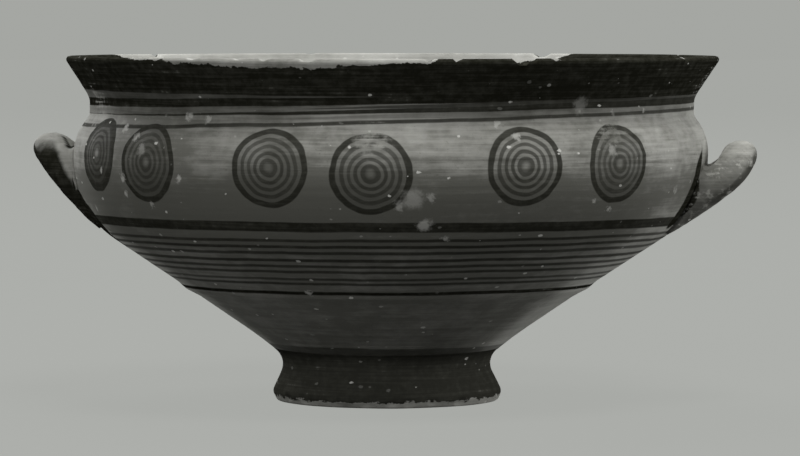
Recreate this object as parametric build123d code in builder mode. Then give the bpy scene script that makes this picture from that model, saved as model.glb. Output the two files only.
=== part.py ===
from build123d import *
import math
import os

# Skyphos: a deep drinking bowl with a flaring lip, two loop handles and a ring foot.
# Millimetres. The origin is the centre of the foot's resting ring. +Z is up, the handles
# lie along X, and the painted front faces -Y.

# Heights, stacked from the table up
foot_height = 17.0
cone_height = 44.5
belly_height = 23.7
shoulder_height = 9.9
lip_height = 15.9

# Outside of the bowl: corners of the outline before they are rounded
seat_radius = 35.0
joint_swell = 1.0
joint_height = 3.0
joint_round = 8.0
belly_radius = 101.9
neck_inset = 5.84
lip_flare = 8.94
lip_round = 1.5
neck_round = 7.6
shoulder_round = 18.0
belly_round = 30.8

# Raised ridge that the wheel left round the lower wall
ridge_above_seat = 19.3
ridge_half_width = 2.4
ridge_rise = 0.95
ridge_crest_round = 4.0
ridge_side_round = 8.0

# Thickness of the thrown wall, and the floor of the bowl
wall = 4.8
floor_thickness = 5.5
floor_round = 40.0

# Foot ring, thrown by itself and luted under the bowl
waist_inset = 3.1
waist_drop = 3.5
waist_round = 6.6
foot_edge_inset = 5.05
foot_edge_height = 3.4
foot_edge_round = 3.0
rest_inset = 2.15
rest_width = 5.6
hollow_top_width = 10.5
hollow_bow = 1.2

# Handles: one rolled coil each, bent to a loop that cants up and out from the lower belly.
# Each coil rises to an elbow near the wall, and from there at a steeper cant to the apex.
coil_diameter = 10.2
loop_half_spacing = 15.6
loop_stand_out = 16.1
loop_bend = 14.8
elbow_bend = 9.0
root_depth = 21.9
root_drop = 3.0
root_splay = 1.5
root_swell = 2.6
left_apex_drop = 4.1
left_elbow_depth = 6.4
left_elbow_rise = 2.5
right_apex_drop = 6.0
right_elbow_depth = 1.9
right_elbow_rise = 4.0

# Share of a straight run that the roundings at its two ends may take up together
bend_fit_share = 0.95

# Levels and radii that follow from the sizes above
seat_level = foot_height
cone_top = seat_level + cone_height
belly_top = cone_top + belly_height
neck_level = belly_top + shoulder_height
rim_level = neck_level + lip_height
neck_radius = belly_radius - neck_inset
rim_radius = neck_radius + lip_flare
cone_angle = math.atan2(cone_height, belly_radius - seat_radius)


def cone_radius(level):
    """Outside radius of the straight lower wall at a height above the table."""
    return seat_radius + (level - seat_level) / math.tan(cone_angle)


def soft_line(corners, rounds):
    """An outline through corners, each rounded by its radius or as far as its runs allow."""
    runs = [Vector(*end) - Vector(*start) for start, end in zip(corners, corners[1:])]
    half_turns = [math.radians(run.get_angle(after)) / 2 for run, after in zip(runs, runs[1:])]
    reaches = [0] + [wanted * math.tan(half) for wanted, half in zip(rounds, half_turns)] + [0]
    for index, run in enumerate(runs):
        needed = reaches[index] + reaches[index + 1]
        room = run.length * bend_fit_share
        if needed > room:
            reaches[index] *= room / needed
            reaches[index + 1] *= room / needed
    radii = [reach / math.tan(half) for reach, half in zip(reaches[1:-1], half_turns)]
    return FilletPolyline(*corners, radius=radii)


# Outline of the wall: the outside from the seat to the lip, and the inside back down.
# Just above the seat the straight lower wall steepens where the foot is luted on.
joint_radius = seat_radius + joint_swell
joint_top = seat_level + joint_height
ridge_level = seat_level + ridge_above_seat
ridge_foot = ridge_level - ridge_half_width
ridge_top = ridge_level + ridge_half_width
outer_corners = [
    (joint_radius, seat_level),
    (cone_radius(joint_top), joint_top),
    (cone_radius(ridge_foot), ridge_foot),
    (cone_radius(ridge_level) + ridge_rise, ridge_level),
    (cone_radius(ridge_top), ridge_top),
    (belly_radius, cone_top),
    (belly_radius, belly_top),
    (neck_radius, neck_level),
    (rim_radius, rim_level - lip_round),
]
outer_rounds = [
    joint_round,
    ridge_side_round,
    ridge_crest_round,
    ridge_side_round,
    belly_round,
    shoulder_round,
    neck_round,
]

inner_radius = belly_radius - wall
inner_cone_top = cone_top + wall / math.cos(cone_angle) - wall * math.tan(cone_angle)
floor_level = seat_level + floor_thickness
floor_corner = cone_radius(floor_level - wall / math.cos(cone_angle))
lip_inside = rim_radius - 2 * lip_round
inner_corners = [
    (lip_inside, rim_level - lip_round),
    (neck_radius - wall, neck_level),
    (inner_radius, belly_top),
    (inner_radius, inner_cone_top),
    (floor_corner, floor_level),
    (0, floor_level),
]
inner_rounds = [neck_round + wall, shoulder_round - wall, belly_round - wall, floor_round]

# Bowl and lip, thrown as one
with BuildPart() as bowl:
    with BuildSketch(Plane.XZ):
        with BuildLine():
            Line((0, seat_level), (joint_radius, seat_level))
            add(soft_line(outer_corners, outer_rounds))
            ThreePointArc(
                outer_corners[-1],
                (rim_radius - lip_round, rim_level),
                inner_corners[0],
            )
            add(soft_line(inner_corners, inner_rounds))
            Line((0, floor_level), (0, seat_level))
        make_face()
    revolve(axis=Axis.Z)
bowl.part.label = "bowl"

# Solid body of the bowl's outside, which gives each handle root its seat
with BuildPart() as wall_form:
    with BuildSketch(Plane.XZ):
        with BuildLine():
            Line((0, seat_level), (joint_radius, seat_level))
            add(soft_line(outer_corners, outer_rounds))
            Polyline(outer_corners[-1], (0, rim_level - lip_round), (0, seat_level))
        make_face()
    revolve(axis=Axis.Z)

# Foot: a low ring, waisted outside and hollow inside, up to the bowl's underside
waist_radius = seat_radius - waist_inset
edge_radius = waist_radius + foot_edge_inset
rest_radius = edge_radius - rest_inset
rest_inside = rest_radius - rest_width
hollow_top = seat_radius - hollow_top_width
foot_corners = [
    (joint_radius, seat_level),
    (waist_radius, seat_level - waist_drop),
    (edge_radius, foot_edge_height),
    (rest_radius, 0),
]
with BuildPart() as foot:
    with BuildSketch(Plane.XZ):
        with BuildLine():
            add(soft_line(foot_corners, [waist_round, foot_edge_round]))
            Line((rest_radius, 0), (rest_inside, 0))
            ThreePointArc(
                (rest_inside, 0),
                ((rest_inside + hollow_top) / 2 - hollow_bow, seat_level / 2),
                (hollow_top, seat_level),
            )
            Line((hollow_top, seat_level), (joint_radius, seat_level))
        make_face()
    revolve(axis=Axis.Z)
foot.part.label = "foot"

# Places that both loops share: the hidden roots of the coil's middle line and its reach
apex_reach = belly_radius + loop_stand_out - coil_diameter / 2
root_reach = belly_radius - root_depth
root_level = cone_top - root_drop
root_spacing = loop_half_spacing + root_splay


def make_handle(side, apex_drop, elbow_depth, elbow_rise, label):
    """One loop handle on the +X side (1) or the -X side (-1), seated on the wall."""
    apex_level = belly_top - apex_drop
    elbow_reach = belly_radius - elbow_depth
    elbow_level = cone_top + elbow_rise
    corners = [
        (side * root_reach, -root_spacing, root_level),
        (side * elbow_reach, -loop_half_spacing, elbow_level),
        (side * apex_reach, -loop_half_spacing, apex_level),
        (side * apex_reach, loop_half_spacing, apex_level),
        (side * elbow_reach, loop_half_spacing, elbow_level),
        (side * root_reach, root_spacing, root_level),
    ]
    middle = soft_line(corners, [elbow_bend, loop_bend, loop_bend, elbow_bend])
    first_run = middle.edges().sort_by(Axis.Y)[0]
    with BuildPart() as handle:
        with BuildSketch(Plane(origin=middle @ 0, z_dir=middle % 0)):
            Circle(coil_diameter / 2)
        sweep(path=middle)
        for end, inward in ((0, 1), (1, -1)):
            root = Plane(origin=middle @ end, z_dir=(middle % end) * inward)
            with BuildSketch(root):
                Circle(coil_diameter / 2 + root_swell)
            with BuildSketch(root.offset(first_run.length)):
                Circle(coil_diameter / 2)
            loft()
        add(wall_form.part, mode=Mode.SUBTRACT)
    handle.part.label = label
    return handle.part


handle_left = make_handle(-1, left_apex_drop, left_elbow_depth, left_elbow_rise, "handle_left")
handle_right = make_handle(1, right_apex_drop, right_elbow_depth, right_elbow_rise, "handle_right")

os.makedirs("parts", exist_ok=True)
export_step(bowl.part, "parts/bowl.step")
export_step(foot.part, "parts/foot.step")
export_step(handle_left, "parts/handle_left.step")
export_step(handle_right, "parts/handle_right.step")
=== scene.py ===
# Painted clay drinking bowl with a flaring lip, two loop handles and a ring foot.
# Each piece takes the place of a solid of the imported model. Shapes and ornament are in millimetres.
import math
import bpy
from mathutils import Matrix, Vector, noise


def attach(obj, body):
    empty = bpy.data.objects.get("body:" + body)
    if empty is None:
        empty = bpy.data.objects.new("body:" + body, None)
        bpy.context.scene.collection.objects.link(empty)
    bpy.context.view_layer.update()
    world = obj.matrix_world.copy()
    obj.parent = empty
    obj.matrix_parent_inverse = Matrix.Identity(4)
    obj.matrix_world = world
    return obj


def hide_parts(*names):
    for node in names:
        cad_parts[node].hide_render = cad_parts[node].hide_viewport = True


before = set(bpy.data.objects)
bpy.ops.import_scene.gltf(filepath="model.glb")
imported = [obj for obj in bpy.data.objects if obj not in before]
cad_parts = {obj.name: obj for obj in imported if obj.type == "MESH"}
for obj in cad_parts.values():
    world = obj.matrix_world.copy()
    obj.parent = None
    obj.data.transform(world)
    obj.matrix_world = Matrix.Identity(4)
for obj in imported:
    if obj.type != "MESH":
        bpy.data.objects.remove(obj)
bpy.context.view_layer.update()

mm = 0.001
fullTurn = 2 * math.pi

# Camera

view = {
    "azimuth": 5.0,  # degrees round from the painted front, towards the right handle
    "distance": 1.40,  # metres from the bowl's middle line
    "height": 0.1264,  # metres above the table
    "lookDown": 2.912,  # degrees
    "lookRight": 0.145,  # degrees
    "lens": 196.0,
    "sensor": 36.0,
    "farthest": 40,  # metres
}


def placeCamera():
    lens = bpy.data.cameras.new("photo_camera")
    lens.lens = view["lens"]
    lens.sensor_width = view["sensor"]
    lens.clip_end = view["farthest"]
    camera = bpy.data.objects.new("photo_camera", lens)
    turn = math.radians(view["azimuth"])
    camera.location = (view["distance"] * math.sin(turn), -view["distance"] * math.cos(turn), view["height"])
    camera.rotation_euler = (math.radians(90 - view["lookDown"]), 0, turn - math.radians(view["lookRight"]))
    bpy.context.scene.collection.objects.link(camera)
    bpy.context.scene.camera = camera


placeCamera()
print("camera placed")

# Helpers for the shapes


def smooth(low, high, value):
    # eases from 0 at low to 1 at high
    share = min(1.0, max(0.0, (value - low) / (high - low)))
    return share * share * (3 - 2 * share)


def grain(x, y, z):
    return noise.noise(Vector((x, y, z)))


def roundGrain(layers, angle, height):
    # noise that closes on itself round the middle line: strength, spread, rate up the wall, offset
    sine, cosine = math.sin(angle), math.cos(angle)
    total = 0.0
    for strength, spread, rate, offset in layers:
        total += strength * grain(sine * spread, cosine * spread, height * rate + offset)
    return total


def walk(start, end, step):
    # points from start towards end, without start itself
    count = max(1, round((end - start).length / step))
    return [start.lerp(end, index / count) for index in range(1, count + 1)]


def roundedOutline(corners, rounds, step):
    # a line through the corners with an arc at each of them
    corners = [Vector(corner) for corner in corners]
    outline = [corners[0]]
    for before, corner, after, radius in zip(corners, corners[1:], corners[2:], rounds):
        back, ahead = (before - corner).normalized(), (after - corner).normalized()
        half = back.angle(ahead) / 2
        reach = radius / math.tan(half)
        middle = corner + (back + ahead).normalized() * (radius / math.sin(half))
        first, last = corner + back * reach - middle, corner + ahead * reach - middle
        outline += walk(outline[-1], middle + first, step)
        turn = math.atan2(first.x * last.y - first.y * last.x, first.dot(last))
        count = max(3, round(radius * abs(turn) / step))
        for index in range(1, count + 1):
            angle = turn * index / count
            outline.append(middle + Vector((
                first.x * math.cos(angle) - first.y * math.sin(angle),
                first.x * math.sin(angle) + first.y * math.cos(angle))))
    outline += walk(outline[-1], corners[-1], step)
    return outline


def makeObject(name, verts, faces):
    mesh = bpy.data.meshes.new(name)
    mesh.from_pydata(verts, [], faces)
    mesh.polygons.foreach_set("use_smooth", [True] * len(mesh.polygons))
    mesh.update()
    piece = bpy.data.objects.new(name, mesh)
    bpy.context.scene.collection.objects.link(piece)
    return piece


def lathe(name, outline, around, shapeAt, joined=False):
    # turns an outline of (radius, height) round the middle line; a point on that line is one vertex
    verts, rings = [], []
    for row, (radius, height) in enumerate(outline):
        if radius < 0.01:
            rings.append([len(verts)] * around)
            verts.append(shapeAt(row, 0.0, height, 0.0))
            continue
        rings.append(list(range(len(verts), len(verts) + around)))
        for index in range(around):
            verts.append(shapeAt(row, radius, height, fullTurn * index / around))
    faces = []
    pairs = list(zip(rings, rings[1:])) + ([(rings[-1], rings[0])] if joined else [])
    for lower, upper in pairs:
        for index in range(around):
            after = (index + 1) % around
            corners = [lower[index], lower[after], upper[after], upper[index]]
            faces.append(list(dict.fromkeys(corners)))
    return makeObject(name, verts, faces)


# The thrown bowl

bowlShape = {
    "around": 600,
    "step": 0.8,
    # radius and height: under the seat, up the outside, over the lip and down the inside
    "corners": [
        (0, 17), (36.5, 17), (40.3, 20.0), (45.9, 24.0), (60.41, 33.9), (64.97, 36.3), (67.62, 38.7),
        (101.9, 61.5), (101.9, 85.2), (97.0, 91.6), (97.0, 97.2), (105.6, 110.94), (101.7, 110.94),
        (91.26, 95.1), (97.1, 85.2), (97.1, 64.07), (34.6, 22.5), (0, 22.5),
    ],
    "rounds": [0.4, 5, 5, 8, 4, 8, 30.8, 17, 3.5, 6, 1.1, 1.3, 12.4, 13.2, 26, 40],
    "rimLevel": 110.94,
    "rimRadius": 105,
    "outsideFrom": 34,  # radius beyond which the outline is the wall's outside
    # how far the middle line bows to the right as it rises: a cubic in the height
    "lean": (-0.487, -0.0295, 0.000885, -0.00000434),
    "ovality": 0.004,  # share by which the rim is narrower from front to back
    "unevenness": 0.22,
    "swells": [(1.0, 1.3, 0.03, 0), (0.5, 4, 0.1, 7)],
    # marks of the fingers while the clay turned, faded out just under the lip
    "wheelMarks": 0.09,
    "insideDeeper": 2.2,
    "marksFrom": 20, "marksFade": 106, "marksTo": 109,
    "outsideMarks": [(1.0, 0.8, 1.1, 0), (0.6, 2, 2.6, 11)],
    "insideMarks": [(1.0, 0.8, 1.1, 40), (0.6, 2, 2.6, 11)],
    "rimZone": 12,  # how far below the lip its waves and breaks reach
    "rimDrop": 0.5,  # how much lower the rim is at the back
    "rimWave": 0.12,
    "rimWaves": [(1.0, 2.2, 0, 3)],
    # breaks in the edge: degrees from the front towards the right, width, depth
    "chips": [
        (27.0, 6.0, 2.1), (29.2, 2.6, 1.2), (15.7, 2.4, 1.2), (66, 3.2, 1.5), (62.5, 1.6, 0.7), (-31, 5, 0.5),
        (-17, 4, 0.7), (-9.5, 6, 0.8), (-22, 2.2, 0.5), (11, 3, 0.9), (-50, 3, 0.5), (34.5, 2.4, 0.6),
        (118, 5, 1.3), (155, 8, 1.8), (201, 4, 0.9), (236, 6, 1.4), (262, 2.5, 0.7),
    ],
    "chipSlope": 0.55,  # share of a chip's half width that its sides take
    "chipRagged": 0.5,
    "chipGrain": 0.9,
    "breakGrain": 60,
}


def leanAt(height):
    return sum(factor * height ** power for power, factor in enumerate(bowlShape["lean"]))


def rimCut(angle):
    # how far the lip's edge is broken away at an angle from the front
    cut = 0.0
    for place, width, depth in bowlShape["chips"]:
        away = math.remainder(angle - math.radians(place), fullTurn) * bowlShape["rimRadius"]
        if abs(away) < width:
            share = 1 - abs(away) / (width / 2)
            ragged = 1 + bowlShape["chipRagged"] * grain(away * bowlShape["chipGrain"], place, depth)
            cut = max(cut, depth * smooth(0, bowlShape["chipSlope"], share * ragged))
    return cut


def lipLevel(height, away, angle):
    # height of a point near the lip, once the rim's waves and chips are in it
    edge = bowlShape["rimLevel"] - height
    if edge >= bowlShape["rimZone"]:
        return height
    drop = bowlShape["rimDrop"] * (0.5 - 0.5 * math.cos(angle))
    drop += bowlShape["rimWave"] * (1 + roundGrain(bowlShape["rimWaves"], angle, height))
    level = height - drop * smooth(bowlShape["rimZone"], 0, edge)
    limit = bowlShape["rimLevel"] - rimCuts[round(angle / fullTurn * bowlShape["around"])]
    if level > limit:
        level = limit - bowlShape["rimWave"] * (1 + grain(away, angle * bowlShape["breakGrain"], 5))
    return level


def turnedPoint(away, height, level, angle):
    # a point of a lathed piece in metres, moved to the right with the middle line's bow
    x = away * math.sin(angle) + leanAt(height)
    return (x * mm, -away * math.cos(angle) * mm, level * mm)


def thrownPoint(row, radius, height, angle):
    # angle is measured from the front, towards the right handle
    lift = height / bowlShape["rimLevel"]
    swell = roundGrain(bowlShape["swells"], angle, height)
    away = radius - bowlShape["unevenness"] * (0.6 + swell * 0.6) * lift
    away -= radius * bowlShape["ovality"] * lift * (0.5 + 0.5 * math.cos(2 * angle))
    if bowlShape["marksFrom"] < height < bowlShape["marksTo"]:
        outer = row < lipRow
        marks = roundGrain(bowlShape["outsideMarks" if outer else "insideMarks"], angle, height) - 0.5
        fade = smooth(bowlShape["marksTo"], bowlShape["marksFade"], height)
        away += bowlShape["wheelMarks"] * marks * (1 if outer else bowlShape["insideDeeper"]) * fade
    return turnedPoint(away, height, lipLevel(height, away, angle), angle)


bowlLine = roundedOutline(bowlShape["corners"], bowlShape["rounds"], bowlShape["step"])
lipRow = max(range(len(bowlLine)), key=lambda row: (round(bowlLine[row].y, 3), bowlLine[row].x))
rimCuts = [rimCut(fullTurn * index / bowlShape["around"]) for index in range(bowlShape["around"] + 1)]
outerLine = [point for point in bowlLine[:lipRow + 1] if point.x > bowlShape["outsideFrom"]]


def wallRadius(height):
    # outside radius of the wall at a height
    for lower, upper in zip(outerLine, outerLine[1:]):
        if lower.y <= height <= upper.y and upper.y > lower.y:
            return lower.x + (upper.x - lower.x) * (height - lower.y) / (upper.y - lower.y)
    return outerLine[-1].x if height > outerLine[0].y else outerLine[0].x


wallStart, wallStep, wallRows = 17, 0.5, 188
wallTable = [wallRadius(wallStart + wallStep * row) for row in range(wallRows)]


def wallGap(x, y, z):
    # distance of a point outside the wall, less than nothing inside it
    spot = min(len(wallTable) - 2.001, max(1.0, (z - wallStart) / wallStep))
    index = int(spot)
    radius = wallTable[index] + (wallTable[index + 1] - wallTable[index]) * (spot - index)
    slope = (wallTable[index + 1] - wallTable[index - 1]) / (2 * wallStep)
    return (math.hypot(x - leanAt(z), y) - radius) / math.hypot(1, slope)


def onWall(degrees, height):
    # place on the outside of the wall
    angle, radius = math.radians(degrees), wallRadius(height)
    return (radius * math.sin(angle) + leanAt(height), -radius * math.cos(angle), height)


bowl = lathe("bowl_thrown", bowlLine, bowlShape["around"], thrownPoint)
insideFrom = lipRow * bowlShape["around"]
bowl.data.polygons.foreach_set("material_index", [
    0 if index < insideFrom else 1 for index in range(len(bowl.data.polygons))])
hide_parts("bowl")
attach(bowl, "root")
print("bowl thrown,", len(bowl.data.vertices), "points")

# The foot

footShape = {
    "around": 360,
    "step": 0.5,
    # radius and height: from the seat down the outside, across the rest and up the hollow
    "corners": [
        (24.5, 17.2), (36.6, 17.2), (36.3, 16.8), (32.2, 13.1), (37.0, 3.0), (35.7, 0.02), (29.2, 0.02),
        (25.3, 8.6), (24.5, 17.2),
    ],
    "rounds": [0.05, 0.3, 6.0, 2.4, 0.8, 0.6, 14],
    "unevenFrom": 30,  # radius beyond which and height below which it is uneven
    "unevenTo": 16.5,
    "unevenness": 0.18,
    "swells": [(1.0, 1.6, 0.08, 21), (0.5, 6, 0.3, 0)],
    "restZone": 1.5,  # the lowest part, which is a little worn
    "restWear": 0.07,
    "restWaves": [(1.0, 3, 0.2, 0)],
    # knocks on the lower edge: degrees from the front, height, reach, depth
    "knocks": [
        (-6, 1.8, 2.6, 0.5), (7, 1.6, 1.8, 0.35), (16, 1.8, 2.4, 0.45), (-41, 2.4, 3.0, 0.5),
        (-55, 2.2, 2.2, 0.4), (28, 1.9, 1.6, 0.4), (45, 1.6, 2.8, 0.5), (81, 2.4, 2.4, 0.4),
        (130, 1.8, 3.4, 0.6), (197, 2.2, 2.2, 0.5), (255, 2.0, 3.2, 0.5), (-24, 3.0, 1.5, 0.3),
    ],
    "knockRadius": 35,  # the edge's radius, where a knock's reach is measured
    "knockFrom": 33,  # and the radius beyond which it bites
    "knockFlat": 0.7,  # height of a knock as a share of its reach
}


def footPoint(row, radius, height, angle):
    away = radius
    if radius > footShape["unevenFrom"] and height < footShape["unevenTo"]:
        away -= footShape["unevenness"] * (0.7 + roundGrain(footShape["swells"], angle, height))
    for place, level, reach, depth in footShape["knocks"]:
        across = math.remainder(angle - math.radians(place), fullTurn) * footShape["knockRadius"]
        if abs(across) < reach and radius > footShape["knockFrom"]:
            tall = reach * footShape["knockFlat"]
            away -= depth * smooth(1, 0, (across / reach) ** 2 + ((height - level) / tall) ** 2)
    rise = 0.0
    if height < footShape["restZone"]:
        wear = 1 + roundGrain(footShape["restWaves"], angle, radius)
        rise = footShape["restWear"] * wear * smooth(footShape["restZone"], 0, height)
    return turnedPoint(away, height, height + rise, angle)


footLine = roundedOutline(footShape["corners"], footShape["rounds"], footShape["step"])[:-1]
foot = lathe("foot_ring", footLine, footShape["around"], footPoint, joined=True)
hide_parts("foot")
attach(foot, "root")
print("foot turned")

# The two loop handles

coil = {
    "thick": 5.75,  # half the coil's width, the thick way
    "narrow": 4.9,  # and the narrow way
    "around": 56,
    "step": 0.55,
    "thickWay": (0.96, 0.28),  # out and up, then turned square to the coil
    "unevenness": 0.28,
    "lumps": 0.11,  # rate of the slow bumps
    "dents": (0.35, 0.42),  # strength and rate of the small ones
    "smear": 2.4,  # how wide the clay is smeared out onto the wall
    "sink": 0.14,  # how far the smear's edge dips under the wall's surface
    "sinkZone": (0.8, 2.5),  # how far out from the coil it starts and ends to dip
    "march": 0.08,  # step of the search for the smeared surface
    "marchEnd": 1.3,  # and where it ends, as a share of the smear
    "hidden": 2.6,  # how deep the hidden ends stay inside the wall
    "cutOff": 7.5,  # the coil's middle line ends this deep inside the wall
    "apexZone": (12, 3),  # distances from the loop's middle between which its apex swells
}
# points that each coil passes through, from the smeared root to the apex: out, across, up
loops = {
    "left": {"side": -1, "seed": 3.0, "apexSwell": 0.5, "route": [
        (68.2, 16.0, 51.0), (77.6, 15.9, 55.8), (85.4, 15.8, 59.6), (91.2, 15.6, 62.8), (95.1, 15.4, 66.5),
        (99.8, 15.0, 71.2), (104.9, 11.4, 76.6), (108.1, 5.4, 79.9), (108.8, 0, 80.6)]},
    "right": {"side": 1, "seed": 9.0, "apexSwell": 0.0, "route": [
        (68.0, 15.8, 52.6), (78.3, 15.8, 56.8), (86.0, 15.7, 59.7), (90.9, 15.6, 61.5), (94.7, 15.5, 63.9),
        (99.3, 15.2, 67.0), (104.3, 14.7, 70.2), (109.3, 11.2, 74.1), (111.7, 5.2, 77.5), (112.3, 0, 78.8)]},
}


def loopRoute(loop):
    side = loop["side"]
    half = [Vector((side * out, -across, up)) for out, across, up in loop["route"]]
    return half + [Vector((point.x, -point.y, point.z)) for point in reversed(half[:-1])]


def throughPoints(points, step):
    # a smooth line that passes through every point
    ends = [points[0] * 2 - points[1]] + points + [points[-1] * 2 - points[-2]]
    line = [points[0].copy()]
    for a, b, c, d in zip(ends, ends[1:], ends[2:], ends[3:]):
        count = max(2, round((c - b).length / step))
        for index in range(1, count + 1):
            t = index / count
            line.append(0.5 * (2 * b + (c - a) * t + (2 * a - 5 * b + 4 * c - d) * t * t
                               + (3 * b - a - 3 * c + d) * t * t * t))
    return line


def softUnion(first, second, reach):
    # smaller of two distances, rounded where they are nearly equal
    share = max(0.0, reach - abs(first - second)) / reach
    return min(first, second) - share * share * reach / 4


def coilPoint(centre, direction, radius):
    # the coil's surface, carried outwards where its clay is smeared onto the wall
    away = radius
    while away < radius + coil["smear"] * coil["marchEnd"]:
        gap = wallGap(*(centre + direction * away))
        if gap < -coil["sink"] * 2:
            break
        dip = coil["sink"] * smooth(*coil["sinkZone"], away - radius)
        if softUnion(away - radius, gap, coil["smear"]) + dip >= 0:
            break
        away += coil["march"]
    spot = centre + direction * away
    gap = wallGap(*spot)
    if gap < -coil["hidden"]:
        outward = Vector((spot.x, spot.y, 0)).normalized()
        spot += outward * (-coil["hidden"] - gap)
    return spot


def coilRing(loop, centre, tangent):
    # one ring of points round the coil's middle line
    out, up = coil["thickWay"]
    across = tangent.cross(Vector((loop["side"] * out, 0, up))).normalized()
    normal = across.cross(tangent).normalized()
    thick = coil["thick"] + loop["apexSwell"] * smooth(*coil["apexZone"], abs(centre.y))
    ring = []
    for turn in range(coil["around"]):
        angle = fullTurn * turn / coil["around"]
        direction = normal * math.cos(angle) + across * math.sin(angle)
        radius = 1 / math.hypot(math.cos(angle) / thick, math.sin(angle) / coil["narrow"])
        spot = centre + direction * radius
        strength, rate = coil["dents"]
        bumps = grain(*(spot * coil["lumps"] + Vector((loop["seed"], 0, 0))))
        bumps += strength * grain(*(spot * rate + Vector((0, loop["seed"], 0))))
        ring.append(coilPoint(centre, direction, radius + coil["unevenness"] * bumps))
    return ring


def makeLoop(name, loop):
    line = throughPoints(loopRoute(loop), coil["step"])
    visible = [index for index, point in enumerate(line) if wallGap(*point) > -coil["cutOff"]]
    line = line[visible[0]:visible[-1] + 1]
    around = coil["around"]
    verts, faces = [], []
    for index, centre in enumerate(line):
        tangent = (line[min(index + 1, len(line) - 1)] - line[max(index - 1, 0)]).normalized()
        verts += coilRing(loop, centre, tangent)
    for ring in range(len(line) - 1):
        for turn in range(around):
            after = (turn + 1) % around
            faces.append((ring * around + turn, (ring + 1) * around + turn,
                          (ring + 1) * around + after, ring * around + after))
    # each hidden end is closed by a fan
    last = (len(line) - 1) * around
    for start, order in ((0, 1), (last, -1)):
        middle = sum((verts[start + turn] for turn in range(around)), Vector()) / around
        verts.append(middle)
        for turn in range(around):
            pair = (start + turn, start + (turn + 1) % around)[::order]
            faces.append((*pair, len(verts) - 1))
    loopPiece = makeObject(name, [vert * mm for vert in verts], faces)
    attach(loopPiece, "root")
    return loopPiece


leftHandle = makeLoop("handle_left_coil", loops["left"])
rightHandle = makeLoop("handle_right_coil", loops["right"])
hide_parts("handle_left")
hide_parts("handle_right")
print("handles rolled and bent")

# Helpers for the materials


class Graph:
    # short ways to add nodes to one tree

    def __init__(self, tree):
        self.tree = tree

    def node(self, kind, inputs=None, **settings):
        item = self.tree.nodes.new(kind)
        for key, value in settings.items():
            setattr(item, key, value)
        for key, value in (inputs or {}).items():
            if isinstance(value, bpy.types.NodeSocket):
                self.tree.links.new(value, item.inputs[key])
            else:
                item.inputs[key].default_value = value
        return item

    def maths(self, operation, *values, clamp=False):
        inputs = dict(enumerate(values))
        return self.node("ShaderNodeMath", inputs, operation=operation, use_clamp=clamp).outputs[0]

    def plus(self, first, second):
        return self.maths("ADD", first, second)

    def minus(self, first, second):
        return self.maths("SUBTRACT", first, second)

    def times(self, first, second):
        return self.maths("MULTIPLY", first, second)

    def without(self, first, second):
        # what the second mask leaves of the first
        return self.times(first, self.minus(1.0, second))

    def vector(self, operation, *values):
        item = self.node("ShaderNodeVectorMath", dict(enumerate(values)), operation=operation)
        return item.outputs["Value" if operation in ("DISTANCE", "DOT_PRODUCT", "LENGTH") else "Vector"]

    def scaled(self, point, x, y, z):
        return self.vector("MULTIPLY", point, (x, y, z))

    def place(self):
        # the point on the piece, in millimetres
        return self.scaled(self.node("ShaderNodeTexCoord").outputs["Object"], 1000, 1000, 1000)

    def axes(self, point):
        return self.node("ShaderNodeSeparateXYZ", {0: point}).outputs

    def angleOf(self, point):
        # angle round the middle line from the front, towards the right
        axes = self.axes(point)
        return self.maths("ARCTAN2", axes[0], self.times(axes[1], -1.0))

    def ease(self, value, low, high, toLow=0.0, toHigh=1.0):
        inputs = {"Value": value, "From Min": low, "From Max": high, "To Min": toLow, "To Max": toHigh}
        return self.node("ShaderNodeMapRange", inputs, interpolation_type="SMOOTHSTEP").outputs[0]

    def noise(self, point, scale, detail=3.0, rough=0.55, output="Fac"):
        inputs = {"Vector": point, "Scale": scale, "Detail": detail, "Roughness": rough}
        return self.node("ShaderNodeTexNoise", inputs).outputs[output]

    def sway(self, point, settings, reach):
        # noise about nought, from minus to plus half of reach
        return self.times(self.minus(self.noise(point, *settings), 0.5), reach)

    def shaken(self, point, settings, reach):
        # the point shifted by noise along each axis, by up to half of reach
        shift = self.vector("SUBTRACT", self.noise(point, *settings, output="Color"), (0.5, 0.5, 0.5))
        return self.vector("ADD", point, self.scaled(shift, *reach))

    def mix(self, share, first, second):
        # the colour sockets of this node are the seventh and eighth
        return self.node("ShaderNodeMix", {0: share, 6: first, 7: second}, data_type="RGBA").outputs[2]

    def ramp(self, value, stops):
        # a grey scale through stops of place and grey, from the lowest place up
        item = self.node("ShaderNodeValToRGB", {0: value})
        elements = item.color_ramp.elements
        elements.remove(elements[1])
        for index, (place, grey) in enumerate(stops):
            stop = elements[0] if index == 0 else elements.new(place)
            stop.position = place
            stop.color = (grey, grey, grey, 1)
        return item.outputs["Color"]

    def group(self, tree, inputs=None):
        return self.node("ShaderNodeGroup", inputs, node_tree=tree)

    def highest(self, masks):
        top = masks[0]
        for mask in masks[1:]:
            top = self.maths("MAXIMUM", top, mask)
        return top

    def near(self, point, place, far, close, strength):
        # grows from nothing at the far distance to its strength at the close one
        return self.ease(self.vector("DISTANCE", point, place), far, close, 0.0, strength)

    def spots(self, point, spots):
        # soft round spots, full over the inner third: place, reach, strength
        return self.highest([
            self.near(point, place, reach, reach * 0.35, strength) for place, reach, strength in spots])


def newGroup(name, inputs, outputs):
    tree = bpy.data.node_groups.new(name, "ShaderNodeTree")
    for direction, socketNames in (("INPUT", inputs), ("OUTPUT", outputs)):
        for socketName in socketNames:
            kind = "NodeSocketColor" if socketName == "Color" else "NodeSocketFloat"
            tree.interface.new_socket(socketName, in_out=direction, socket_type=kind)
    return tree, Graph(tree)


def clearedTree(owner):
    owner.use_nodes = True
    owner.node_tree.nodes.clear()
    return Graph(owner.node_tree)


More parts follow.
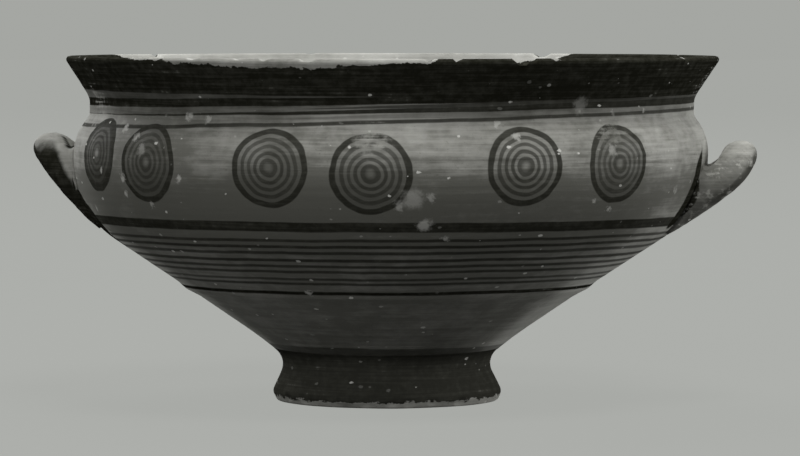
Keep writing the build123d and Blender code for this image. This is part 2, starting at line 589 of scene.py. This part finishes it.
def tone(grey, warmth=1.0):
    # a grey from 0 to 255 as it shows in a picture, with a little less blue, like the print
    def linear(value):
        share = max(0.0, value) / 255
        return share / 12.92 if share < 0.04045 else ((share + 0.055) / 1.055) ** 2.4
    return (linear(grey), linear(grey), linear(grey - 6 * warmth), 1)


# Painted ornament

paint = {
    "edge": 0.22,  # softness of a painted edge
    "neckFront": -0.002,  # slope of the lines towards the back
    "bellyFront": -0.014,
    "handNoise": (0.045, 3.0),
    "handFlat": 0.4,  # neighbouring lines wander nearly together
    "bellyHand": 0.8,  # how far the belly's lines wander, against the neck's
    # middle height, width, strength, climb to the right, how much it widens to the right
    "neckBands": [
        (104.7, 16.0, 1.0, 0.019, 0.0), (94.72, 1.3, 0.95, 0.023, 0.011), (91.42, 1.15, 0.85, 0.0275, 0.0),
        (95.9, 2.4, 0.46, 0.021, 0.0), (95.9, 0.8, 0.84, 0.021, 0.03), (93.1, 1.0, 0.4, 0.025, 0.03),
    ],
    "neckGaps": [(99.22, 0.0, 0.32, 0.004, -0.026)],
    "bellyBands": [
        (58.75, 3.0, 0.93, -0.001, 0.0), (54.6, 0.95, 0.8, 0.004, 0.0), (52.6, 0.95, 0.85, 0.004, 0.0),
        (50.6, 1.0, 0.8, 0.004, 0.0), (48.2, 1.0, 0.85, 0.004, 0.0), (46.2, 0.9, 0.8, 0.004, 0.0),
        (44.4, 0.9, 0.8, 0.004, 0.0), (42.0, 0.8, 0.75, 0.004, 0.0), (40.5, 0.8, 0.8, 0.004, 0.0),
        (37.4, 1.1, 1.0, 0.004, 0.0), (16.6, 4.2, 0.6, 0.0, 0.0),
    ],
}
compass = {
    # degrees from the front, height, size, how far the gaps are smeared
    "circles": [
        (-59.4, 80.8, 12.0, 0.85), (-42.6, 78.8, 12.4, 0.45), (-16.2, 78.0, 12.3, 0.3),
        (1.6, 76.4, 12.6, 0.28), (28.6, 78.5, 12.4, 0.12), (48.4, 78.7, 12.4, 0.42),
        (126, 80.0, 12.3, 0.4), (141, 78.6, 12.4, 0.25), (167, 78.4, 12.5, 0.3), (184, 77.2, 12.2, 0.2),
        (211, 78.0, 12.4, 0.3), (231, 79.0, 12.5, 0.45),
    ],
    # middle radius and width as shares of the size, strength, from the middle outwards
    "rings": [
        (0.19, 0.10, 0.74), (0.36, 0.09, 0.74), (0.53, 0.09, 0.7), (0.71, 0.10, 0.72), (0.93, 0.15, 0.88),
    ],
    "centre": (0.05, 0.2),  # share of the size, strength
    "blur": 0.012,
    "reach": 1.25,  # share of the size at which the scale ends, outside the outer ring
    "handNoise": (0.16, 1.5, 0.5),
    "handShift": (1.1, 1.1, 1.1),
}


def ringRamp(g, distance, smear):
    # dark rings on a scale from the centre outwards
    centre, centreStrength = compass["centre"]
    blur, rings, reach = compass["blur"], compass["rings"], compass["reach"]
    stops = [(0.0, centreStrength), (centre, centreStrength)]
    for index, (middle, width, strength) in enumerate(rings):
        inner, outer = middle - width / 2, middle + width / 2
        isOutermost = index + 1 == len(rings)
        gap = 0.0 if isOutermost else smear
        stops += [(inner + blur, strength), (outer - blur, strength), (outer + blur, gap)]
        if not isOutermost:
            nextMiddle, nextWidth = rings[index + 1][:2]
            stops.append((nextMiddle - nextWidth / 2 - blur, gap))
    return g.ramp(g.maths("DIVIDE", distance, reach), [(place / reach, value) for place, value in stops])


def makeCircles():
    tree, g = newGroup("compass_circles", [], ["Mask"])
    point = g.shaken(g.place(), compass["handNoise"], compass["handShift"])
    masks = []
    for degrees, height, size, smear in compass["circles"]:
        distance = g.maths("DIVIDE", g.vector("DISTANCE", point, onWall(degrees, height)), size)
        masks.append(ringRamp(g, distance, smear))
    g.node("NodeGroupOutput", {"Mask": g.highest(masks)})
    return tree


def bandMasks(g, point, bands, front, wobble):
    masks = []
    for middle, width, strength, climb, widen in bands:
        height = g.plus(g.vector("DOT_PRODUCT", point, (-climb, -front, 1.0)), wobble)
        away = g.maths("ABSOLUTE", g.minus(height, middle))
        away = g.minus(away, g.vector("DOT_PRODUCT", point, (widen / 2, 0.0, 0.0)))
        masks.append(g.ease(away, width / 2 + paint["edge"], width / 2 - paint["edge"], 0.0, strength))
    return g.highest(masks)


def makeBands():
    tree, g = newGroup("wheel_bands", [], ["Mask"])
    point = g.place()
    wobble = g.minus(g.noise(g.scaled(point, 1, 1, paint["handFlat"]), *paint["handNoise"]), 0.5)
    neck = bandMasks(g, point, paint["neckBands"], paint["neckFront"], wobble)
    gaps = bandMasks(g, point, paint["neckGaps"], paint["neckFront"], wobble)
    wobble = g.times(wobble, paint["bellyHand"])
    belly = bandMasks(g, point, paint["bellyBands"], paint["bellyFront"], wobble)
    g.node("NodeGroupOutput", {"Mask": g.highest([g.without(neck, gaps), belly])})
    return tree


# Clay and slip finishes: each noise has its scale per millimetre, detail and roughness

clay = {
    "pale": 176, "mid": 150, "dark": 112,  # greys of the fired clay
    # the stain grey and the stain shares below serve real stain and painted shade alike
    "pore": 72, "fleck": 200, "stainAndShade": 80, "loss": 196,
    "rough": 0.62,
    "shine": 0.06,
    "cloud": (0.028, 4.0, 0.6), "cloudShare": 0.5,
    "blotch": (0.16, 4.0, 0.62), "blotchShare": 0.28, "blotchTall": 1.6,
    "streak": (1.0, 4.0, 0.6), "streakShare": 0.3, "streakStretch": (0.035, 0.035, 0.9),
    "fine": (1.4, 2.0, 0.5),
    "stainShade": 0.10, "stainShare": 0.45,  # how far stain darkens the clouding and the colour
    "darkToMid": (0.40, 0.56),
    "midToPale": (0.52, 0.70),
    "poreFrom": (0.62, 0.8), "poreShare": 0.35,
    "fleckScale": 0.34, "fleckTall": 1.5,
    "fleckSize": (0.84, 1.0, 0.0, 0.3),  # chance of a fleck, then its size
    "fleckStrength": (0.2, 0.8, 0.25, 0.9),
    "fleckEdge": 0.08, "fleckRagged": 0.35,
    "streakHeight": 0.5, "fineHeight": 0.25,  # shares of the relief
}
slip = {
    "dark": 31, "worn": 53,  # greys of the dark paint
    "film": 96,  # and of the chalky film over it on the foot
    "rough": 0.5,
    "shine": 0.0,
    "strokes": (1.0, 5.0, 0.65), "strokesShare": 0.55, "strokesStretch": (0.03, 0.03, 1.3),
    "patches": (0.35, 4.0, 0.65), "patchesShare": 0.45,
    "wearShare": 0.5,
    "lostFrom": (0.60, 0.78),
    "wornFrom": (0.42, 0.64),
}
relief = {
    "strength": 0.6,
    "depth": 0.00022,  # metres
    "slip": 0.35,  # how far the paint stands above the clay
    "loss": 0.8,  # how deep the pale losses are
}


def makeClay():
    # the fired body: clouding, brushed streaks, pale and dark specks
    tree, g = newGroup("fired_clay", ["StainAndPaintedShade"], ["Color", "Height", "Fleck"])
    point = g.place()
    # the input darkens the clay for stains and painted shade; below nothing it lightens it as painted
    # highlight
    stainAndShade = g.node("NodeGroupInput").outputs["StainAndPaintedShade"]
    cloud = g.noise(point, *clay["cloud"])
    blotch = g.noise(g.scaled(point, 1, 1, clay["blotchTall"]), *clay["blotch"])
    streak = g.noise(g.scaled(point, *clay["streakStretch"]), *clay["streak"])
    fine = g.noise(point, *clay["fine"])
    shade = g.plus(g.times(cloud, clay["cloudShare"]), g.times(blotch, clay["blotchShare"]))
    shade = g.plus(shade, g.times(streak, clay["streakShare"]))
    shade = g.minus(shade, g.times(stainAndShade, clay["stainShade"]))
    colour = g.mix(g.ease(shade, *clay["darkToMid"]), tone(clay["dark"]), tone(clay["mid"]))
    colour = g.mix(g.ease(shade, *clay["midToPale"]), colour, tone(clay["pale"]))
    colour = g.mix(g.times(stainAndShade, clay["stainShare"]), colour, tone(clay["stainAndShade"]))
    pores = g.times(g.ease(fine, *clay["poreFrom"]), clay["poreShare"])
    colour = g.mix(pores, colour, tone(clay["pore"]))
    cells = {"Vector": g.scaled(point, 1, 1, clay["fleckTall"]), "Scale": clay["fleckScale"]}
    specks = g.node("ShaderNodeTexVoronoi", cells)
    chance = g.node("ShaderNodeSeparateColor", {0: specks.outputs["Color"]})
    size = g.ease(chance.outputs[0], *clay["fleckSize"])
    ragged = g.plus(specks.outputs["Distance"], g.times(g.minus(fine, 0.5), clay["fleckRagged"]))
    inFleck = g.ease(g.minus(size, ragged), 0.0, clay["fleckEdge"])
    fleck = g.times(inFleck, g.ease(chance.outputs[1], *clay["fleckStrength"]))
    g.node("NodeGroupOutput", {
        "Color": g.mix(fleck, colour, tone(clay["fleck"])),
        "Height": g.plus(g.times(streak, clay["streakHeight"]), g.times(fine, clay["fineHeight"])),
        "Fleck": fleck,
    })
    return tree


def makeSlip():
    # how much of the paint is left, and its colour
    tree, g = newGroup("dark_slip", ["Mask", "Wear"], ["Color", "Cover"])
    point = g.place()
    given = g.node("NodeGroupInput")
    strokes = g.noise(g.scaled(point, *slip["strokesStretch"]), *slip["strokes"])
    patches = g.noise(point, *slip["patches"])
    thin = g.plus(g.times(strokes, slip["strokesShare"]), g.times(patches, slip["patchesShare"]))
    lost = g.ease(g.plus(thin, g.times(given.outputs["Wear"], slip["wearShare"])), *slip["lostFrom"])
    cover = g.without(given.outputs["Mask"], lost)
    colour = g.mix(g.ease(thin, *slip["wornFrom"]), tone(slip["dark"]), tone(slip["worn"]))
    g.node("NodeGroupOutput", {"Color": colour, "Cover": cover})
    return tree


clayGroup, slipGroup = makeClay(), makeSlip()
circleGroup, bandGroup = makeCircles(), makeBands()


def finish(name, paintMask, wearMask, extraPale=None, haze=0.0, stainAndShade=None):
    # one material: paintMask and wearMask are functions that add their nodes and return a mask
    material = bpy.data.materials.new(name)
    g = clearedTree(material)
    point = g.place()
    body = g.group(clayGroup, {"StainAndPaintedShade": stainAndShade(g, point) if stainAndShade else 0.0})
    coat = g.group(slipGroup, {"Mask": paintMask(g, point), "Wear": wearMask(g, point)})
    cover = g.without(coat.outputs["Cover"], body.outputs["Fleck"])
    coatColour = g.mix(haze, coat.outputs["Color"], tone(slip["film"]))
    colour = g.mix(cover, body.outputs["Color"], coatColour)
    height = g.plus(body.outputs["Height"], g.times(cover, relief["slip"]))
    if extraPale:
        pale = extraPale(g, point)
        colour = g.mix(pale, colour, tone(clay["loss"]))
        cover = g.without(cover, pale)
        height = g.minus(height, g.times(pale, relief["loss"]))
    bump = {"Strength": relief["strength"], "Distance": relief["depth"], "Height": height}
    shader = g.node("ShaderNodeBsdfPrincipled", {
        "Base Color": colour,
        "Roughness": g.ease(cover, 0.0, 1.0, clay["rough"], slip["rough"]),
        "Specular IOR Level": g.ease(cover, 0.0, 1.0, clay["shine"], slip["shine"]),
        "Normal": g.node("ShaderNodeBump", bump).outputs[0],
    })
    g.node("ShaderNodeOutputMaterial", {"Surface": shader.outputs[0]})
    return material


# Wear of the lip

lipWear = {
    # degrees from the front, then how many millimetres of the lip's edge are rubbed bare
    "outside": [
        (-180, 1.3), (-150, 2.1), (-120, 1.1), (-95, 0.0), (-50, 0.0), (-44, 1.0), (-37, 1.1), (-34, 2.0),
        (-27, 2.1), (-25, 2.8), (-14, 3.0), (-12, 3.3), (-5, 3.2), (-3, 2.3), (5, 2.2), (7, 1.4), (10, 1.5),
        (11, 2.3), (12, 1.2), (14, 0.2), (32, 0.0), (34, 1.2), (37, 0.0), (63, 0.0), (66, 1.3), (68, 0.0),
        (100, 0.0), (125, 1.8), (155, 1.2), (180, 1.3),
    ],
    "inside": [
        (-180, 5.2), (-160, 3.8), (-135, 6.0), (-122, 3.4), (-115, 2.6), (-109, 0.0), (-44, 0.0), (-37, 2.2),
        (-22, 3.8), (-6, 3.0), (6, 3.4), (14, 0.0), (146, 0.0), (151, 2.8), (163, 4.6), (180, 5.2),
    ],
    "noise": (0.3, 4.0, 0.7),
    "noiseTall": 0.8,
    "ragged": 3.4,  # how far the bare edge wanders
    "raggedFrom": 1.2,  # where at least this much is rubbed away
    "edge": (0.05, 0.65),
    "wear": 1.3,  # how strongly the rubbed edge wears the paint
    "insidePale": 0.3,
    "deepest": 10.0,  # the white of the ramp that holds these depths
}


def bareLip(g, point, side):
    # where the lip's edge is rubbed bare, by the angle from the front
    turn = g.plus(g.maths("DIVIDE", g.angleOf(point), fullTurn), 0.5)
    deepest = lipWear["deepest"]
    depth = g.ramp(turn, [(degrees / 360 + 0.5, bare / deepest) for degrees, bare in lipWear[side]])
    depth = g.times(depth, deepest)
    ragged = g.minus(g.noise(g.scaled(point, 1, 1, lipWear["noiseTall"]), *lipWear["noise"]), 0.5)
    ragged = g.times(ragged, g.ease(depth, 0.0, lipWear["raggedFrom"], 0.0, lipWear["ragged"]))
    level = g.plus(g.plus(g.axes(point)[2], depth), ragged)
    softFrom, softTo = lipWear["edge"]
    return g.ease(level, bowlShape["rimLevel"] + softFrom, bowlShape["rimLevel"] + softTo)


# Finish of the bowl's outside and inside

# pale losses, some of them worn only thin: place, reach, strength
losses = {
    "noise": (0.4, 4.0, 0.7),
    "shift": (6, 6, 4),
    "spots": [
        (onWall(8.9, 68.8), 4.4, 0.34), (onWall(6.6, 66.6), 2.6, 0.4), (onWall(12.0, 69.2), 2.2, 0.4),
        (onWall(11.4, 60.7), 3.2, 0.55), (onWall(15.6, 56.6), 1.6, 0.5), (onWall(27.2, 87.4), 1.8, 0.5),
        (onWall(-49.5, 73.5), 2.0, 0.6), (onWall(-16, 38.4), 1.5, 0.6), (onWall(150, 69), 3.6, 0.8),
        (onWall(-34.8, 92.8), 1.9, 0.6), (onWall(-29.9, 92.3), 1.6, 0.6), (onWall(-51.2, 88.9), 1.8, 0.6),
        (onWall(-46.6, 86.4), 2.0, 0.5), (onWall(-44.0, 82.6), 2.6, 0.35), (onWall(-57.0, 75.7), 1.5, 0.6),
        (onWall(-34.3, 74.1), 1.7, 0.6), (onWall(-49.0, 68.4), 1.4, 0.6), (onWall(-42.1, 65.4), 1.2, 0.5),
        (onWall(47.7, 64.4), 1.3, 0.5), (onWall(43.5, 67.4), 1.2, 0.5), (onWall(67.0, 69.4), 1.6, 0.4),
        (onWall(58.4, 94.8), 1.2, 0.5), (onWall(49.1, 93.9), 1.2, 0.4), (onWall(23.7, 91.1), 1.7, 0.5),
        (onWall(41.0, 96.4), 3.4, 0.22), (onWall(46.5, 82.8), 2.6, 0.3), (onWall(-64.6, 63.2), 1.6, 0.5),
        (onWall(203, 62), 4.2, 0.8), (onWall(-120, 72), 2.4, 0.6),
    ],
}
# paint rubbed thin: place, reach, strength
rubbed = [
    (onWall(-84, 102), 16, 0.3), (onWall(-66, 92.5), 14, 0.27), (onWall(84, 104), 12, 0.2),
    (onWall(1.5, 87.5), 9, 0.4), (onWall(47, 88), 9, 0.28),
]
# paint over each handle root: its top and low end, each with the half width there
rootPaint = [
    ((99.9, 16.5, 83.0), 0.4, (99.3, 22.0, 75.0), 3.0),
    ((99.3, 22.0, 75.0), 3.0, (96.6, 23.4, 66.2), 4.3),
    ((96.6, 23.4, 66.2), 4.3, (91.4, 23.8, 60.4), 4.0),
    ((-98.0, 22.5, 64.5), 2.6, (-92.5, 26.0, 57.5), 9.4),
    ((-92.0, 20.0, 57.0), 13.0, (-80.5, 3.0, 45.0), 4.5),
]
rootEdge = {"soft": (0.6, -0.4), "noise": (0.12, 3.0), "wobble": 2.0}
# darker clay, partly stain and partly painted shade, and paler sides as painted highlight: heights, or
# distances from a place, from none to full, and strength
bellyStainShadeAndHighlight = {
    "streak": (1.0, 4.0, 0.65), "streakStretch": (0.03, 0.03, 0.7), "streakReach": 22.0,
    "cloud": (0.022, 4.0, 0.6), "cloudReach": 34.0,
    "low": (91.0, 69.0),
    "rightLow": (82.5, 78.0), "rightFrom": (5.0, 50.0), "rightStrength": 0.85,
    # a darker patch over the left front: place, far and close distances, strength
    "leftFrontDarkening": (onWall(-38, 78), 62.0, 20.0, 0.55),
    "haze": (onWall(32, 72), 58.0, 22.0, 0.42),
    # painted shade: a band round the lower belly, darkened about a level
    "beltLevel": 64.0, "paintedBeltShade": (15.0, 8.0, 0.0, 0.6),
    # painted highlight on the sides: angles in radians beyond which the limbs stay paler, and how much at
    # which heights
    "rightLimbHighlight": (0.87, 1.22), "leftLimbHighlight": (-0.98, -1.24), "paintedLimbHighlight": (58.0, 70.0, 1.9, 0.8),
}
reservedLine = {"level": 99.0, "edge": (0.6, 1.0)}


def rootStripe(g, point, top, thin, low, wide):
    # paint that runs down beside a handle root, the same in front and behind
    folded = g.vector("MAXIMUM", point, g.scaled(point, 1, -1, 1))
    top, low = Vector(top), Vector(low)
    line = low - top
    along = g.vector("DOT_PRODUCT", g.vector("SUBTRACT", folded, tuple(top)), tuple(line))
    along = g.maths("DIVIDE", along, line.length_squared, clamp=True)
    step = g.node("ShaderNodeVectorMath", {0: tuple(line), "Scale": along}, operation="SCALE")
    nearest = g.vector("ADD", step.outputs["Vector"], tuple(top))
    beyond = g.minus(g.vector("DISTANCE", folded, nearest), g.ease(along, 0.0, 1.0, thin, wide))
    return g.ease(g.plus(beyond, g.sway(point, rootEdge["noise"], rootEdge["wobble"])), *rootEdge["soft"])


def bowlPaint(g, point):
    stripes = [rootStripe(g, point, *place) for place in rootPaint]
    return g.highest([g.group(bandGroup).outputs[0], g.group(circleGroup).outputs[0], *stripes])


def paintedBellyShadeAndStain(g, point):
    # the belly is darker from its middle down, with a ragged, streaky edge, and in patches over the front;
    # the band round the lower belly is painted shade and the paler sides are painted highlight
    shade = bellyStainShadeAndHighlight
    axes = g.axes(point)
    streaks = g.sway(g.scaled(point, *shade["streakStretch"]), shade["streak"], shade["streakReach"])
    height = g.plus(axes[2], streaks)
    low = g.ease(g.plus(height, g.sway(point, shade["cloud"], shade["cloudReach"])), *shade["low"])
    # painted shade round the lower belly
    paintedBeltShade = g.ease(g.maths("ABSOLUTE", g.minus(axes[2], shade["beltLevel"])), *shade["paintedBeltShade"])
    right = g.times(g.ease(height, *shade["rightLow"]), g.ease(axes[0], *shade["rightFrom"]))
    leftFrontDarkening, haze = g.near(point, *shade["leftFrontDarkening"]), g.near(point, *shade["haze"])
    angle = g.angleOf(point)
    # painted highlight: the clay is lightened beyond these angles from the front
    paintedLimbHighlight = g.plus(g.ease(angle, *shade["rightLimbHighlight"]), g.ease(angle, *shade["leftLimbHighlight"]))
    paintedLimbHighlight = g.times(paintedLimbHighlight, g.ease(axes[2], *shade["paintedLimbHighlight"]))
    return g.minus(g.highest([g.plus(low, paintedBeltShade), g.times(right, shade["rightStrength"]), leftFrontDarkening, haze]), paintedLimbHighlight)


def outsideWear(g, point):
    return g.highest([g.times(bareLip(g, point, "outside"), lipWear["wear"]), g.spots(point, rubbed)])


def outsideLosses(g, point):
    return g.spots(g.shaken(point, losses["noise"], losses["shift"]), losses["spots"])


def insidePaint(g, point):
    # the inside is painted all over but for a thin reserved line under the lip
    away = g.maths("ABSOLUTE", g.minus(g.axes(point)[2], reservedLine["level"]))
    return g.ease(away, *reservedLine["edge"])


def insideWear(g, point):
    return g.times(bareLip(g, point, "inside"), lipWear["wear"])


def insidePale(g, point):
    return g.times(bareLip(g, point, "inside"), lipWear["insidePale"])


# the outside's clay is darkened by stain and painted shade, and lightened at the sides by painted highlight
bowl.data.materials.append(finish("bowl_outside", bowlPaint, outsideWear, outsideLosses, stainAndShade=paintedBellyShadeAndStain))
bowl.data.materials.append(finish("bowl_inside", insidePaint, insideWear, insidePale))

# Finish of the foot

footCoat = {
    "haze": 0.2,
    "outsideFrom": (29.6, 30.6),  # radii between which the paint starts
    "levelFrom": (0.3, 0.9),  # and heights, so that the resting edge is bare
    "wear": (2.6, 1.2, 0.0, 0.9),  # heights between which the lower edge is worn, and how far
    "noise": (0.3, 4.0, 0.7), "noiseTall": 1.6, "ragged": 5.0,
}


def footPaint(g, point):
    radius = g.vector("LENGTH", g.scaled(point, 1, 1, 0))
    height = g.axes(point)[2]
    return g.times(g.ease(radius, *footCoat["outsideFrom"]), g.ease(height, *footCoat["levelFrom"]))


def footWear(g, point):
    ragged = g.sway(g.scaled(point, 1, 1, footCoat["noiseTall"]), footCoat["noise"], footCoat["ragged"])
    return g.ease(g.plus(g.axes(point)[2], ragged), *footCoat["wear"])


foot.data.materials.append(finish("foot_paint", footPaint, footWear, haze=footCoat["haze"]))

# Finish of the handles

# the dark coat lies underneath: level and outer set where it begins, by how the surface faces
# and by how far out it lies. Marks are dark spots: place, reach, strength
coilCoat = {
    "left": {
        "level": 0.45, "soft": 0.12, "ragged": 0.35, "strength": 1.0, "lowEnd": 1.0, "outer": 53.6,
        "film": 0.0, "wear": 0.05,
        "marks": [
            ((-103.9, -4.0, 84.8), 2.5, 1.0), ((-102.7, -5.8, 83.8), 2.8, 1.0),
            ((-101.9, -8.0, 82.7), 2.9, 1.0), ((-101.7, -10.4, 81.6), 2.7, 1.0),
        ],
    },
    "right": {
        "level": 0.42, "soft": 0.25, "ragged": 0.4, "strength": 0.8, "lowEnd": 0.55, "outer": 90.0,
        "film": 0.56, "wear": 0.5,
        "marks": [((98.4, -20.6, 71.2), 1.4, 1.0)],
    },
}
handleCoat = {
    "facing": (0.77, -0.64),  # out and up: the way that the painted side faces
    "outward": (0.877, -0.481),  # out and up: the way in which outer is measured
    "noise": (0.16, 4.0, 0.65),
    "lowEnd": (60.0, 68.0),  # heights between which the low end's own strength gives way
    "outerEdge": (-0.9, 1.1), "outerSway": 2.4,
    "outerTop": (85.0, 79.5, 0.25, 1.0), "topSway": 6.0,
    "filmTop": (81.0, 76.0), "filmSway": 14.0,
    "wearNoise": (0.25, 4.0, 0.7), "wearFrom": (0.4, 0.7),
}


def handlePaint(side, coat):
    # dark underneath and over the roots, bare or thinly coated on the upper face
    def mask(g, point):
        facingOut, facingUp = handleCoat["facing"]
        awayOut, awayUp = handleCoat["outward"]
        edgeFrom, edgeTo = handleCoat["outerEdge"]
        uneven = g.minus(g.noise(point, *handleCoat["noise"]), 0.5)
        height = g.axes(point)[2]
        normal = g.node("ShaderNodeTexCoord").outputs["Normal"]
        facing = g.vector("DOT_PRODUCT", normal, (side * facingOut, 0.0, facingUp))
        under = g.plus(facing, g.times(uneven, coat["ragged"]))
        level, soft = coat["level"], coat["soft"]
        under = g.ease(under, level - soft, level + soft, 0.0, coat["strength"])
        under = g.times(under, g.ease(height, *handleCoat["lowEnd"], coat["lowEnd"], 1.0))
        outer = g.vector("DOT_PRODUCT", point, (side * awayOut, 0.0, awayUp))
        outer = g.plus(outer, g.times(uneven, handleCoat["outerSway"]))
        outer = g.ease(outer, coat["outer"] + edgeFrom, coat["outer"] + edgeTo)
        top = g.plus(height, g.times(uneven, handleCoat["topSway"]))
        outer = g.times(outer, g.ease(top, *handleCoat["outerTop"]))
        top = g.plus(height, g.times(uneven, handleCoat["filmSway"]))
        film = g.ease(top, *handleCoat["filmTop"], 0.0, coat["film"])
        stripes = [rootStripe(g, point, *place) for place in rootPaint if place[0][0] * side > 0]
        return g.highest([under, outer, film, g.spots(point, coat["marks"]), *stripes])
    return mask


def handleWear(amount):
    def mask(g, point):
        return g.ease(g.noise(point, *handleCoat["wearNoise"]), *handleCoat["wearFrom"], 0.0, amount)
    return mask


for name, side, handle in (("left", -1, leftHandle), ("right", 1, rightHandle)):
    coat = coilCoat[name]
    paintMask, wearMask = handlePaint(side, coat), handleWear(coat["wear"])
    handle.data.materials.append(finish(name + "_coil_paint", paintMask, wearMask))
print("finishes made")

# Floor, background and lights

studio = {
    "floorRadius": 9.0,
    "floorAround": 96,
    "floorNear": 174, "floorFar": 167, "sky": 166,
    "floorFade": (0.1, 4.5),  # metres between which the floor turns from near to far
    "floorLit": (0.30, 0.30, 0.29, 1),
    "shadowShare": 0.08,  # how much of the lamps' light and shadow the pale floor shows
    "shadowFade": (0.2, 0.7),  # metres from the middle between which they fade out
    "bounce": 108,  # grey that the floor throws back at the bowl
    "ambient": 0.09,
    "warmth": 0.9, "tint": (0.985, 1.01, 1.03),
}


def splitByRay(g, plain, shown, outputKind):
    # camera and mirrored rays meet what is shown, all others the plain surface that lights the bowl
    path = g.node("ShaderNodeLightPath").outputs
    seen = g.highest([path["Is Camera Ray"], path["Is Glossy Ray"], path["Is Transmission Ray"]])
    surface = g.node("ShaderNodeMixShader", {0: seen, 1: plain.outputs[0], 2: shown.outputs[0]})
    g.node(outputKind, {"Surface": surface.outputs[0]})


def paleTone(grey):
    red, green, blue, alpha = tone(grey, studio["warmth"])
    redTint, greenTint, blueTint = studio["tint"]
    return (red * redTint, green * greenTint, blue * blueTint, alpha)


def makeFloor():
    angles = [fullTurn * index / studio["floorAround"] for index in range(studio["floorAround"])]
    verts = [(studio["floorRadius"] * math.cos(angle), studio["floorRadius"] * math.sin(angle), 0)
             for angle in angles]
    floor = makeObject("studio_floor", verts, [tuple(range(len(verts)))])
    material = bpy.data.materials.new("pale_floor")
    g = clearedTree(material)
    away = g.vector("LENGTH", g.node("ShaderNodeTexCoord").outputs["Object"])
    near, far = paleTone(studio["floorNear"]), paleTone(studio["floorFar"])
    glow = g.node("ShaderNodeEmission", {
        "Color": g.mix(g.ease(away, *studio["floorFade"]), near, far), "Strength": 1.0})
    lit = g.node("ShaderNodeBsdfDiffuse", {"Color": studio["floorLit"]})
    litShare = g.ease(away, *studio["shadowFade"], studio["shadowShare"], 0.0)
    shown = g.node("ShaderNodeMixShader", {0: litShare, 1: glow.outputs[0], 2: lit.outputs[0]})
    dull = g.node("ShaderNodeBsdfDiffuse", {"Color": tone(studio["bounce"], 0)})
    splitByRay(g, dull, shown, "ShaderNodeOutputMaterial")
    floor.data.materials.append(material)


def makeSky():
    world = bpy.data.worlds.new("studio")
    bpy.context.scene.world = world
    g = clearedTree(world)
    plain = g.node("ShaderNodeBackground", {"Color": (1, 1, 1, 1), "Strength": studio["ambient"]})
    shown = g.node("ShaderNodeBackground", {"Color": paleTone(studio["sky"]), "Strength": 1.0})
    splitByRay(g, plain, shown, "ShaderNodeOutputWorld")


# soft boxes aimed at the bowl, in metres and watts: name, place, size, power
lamps = [
    ("key_softbox", (0.24, -0.46, 1.30), (0.5, 0.5), 13.5),
    ("front_softbox", (-0.25, -1.36, 0.70), (0.6, 0.5), 7.5),
    ("back_softbox", (-0.25, 0.75, 1.15), (0.6, 0.6), 9.0),
    ("right_softbox", (1.25, 0.30, 0.30), (0.5, 0.7), 9.0),
    ("left_softbox", (-1.05, 0.80, 0.55), (0.5, 0.7), 10.0),
]
lampAim = (0, 0, 0.07)


def hangLamps():
    for name, place, size, watts in lamps:
        light = bpy.data.lights.new(name, "AREA")
        light.shape = "RECTANGLE"
        light.size, light.size_y = size
        light.energy = watts
        lamp = bpy.data.objects.new(name, light)
        lamp.location = place
        lamp.rotation_euler = (Vector(lampAim) - Vector(place)).to_track_quat("-Z", "Y").to_euler()
        bpy.context.scene.collection.objects.link(lamp)


makeFloor()
makeSky()
hangLamps()
bpy.context.scene.view_settings.view_transform = "Standard"
print("studio lit")
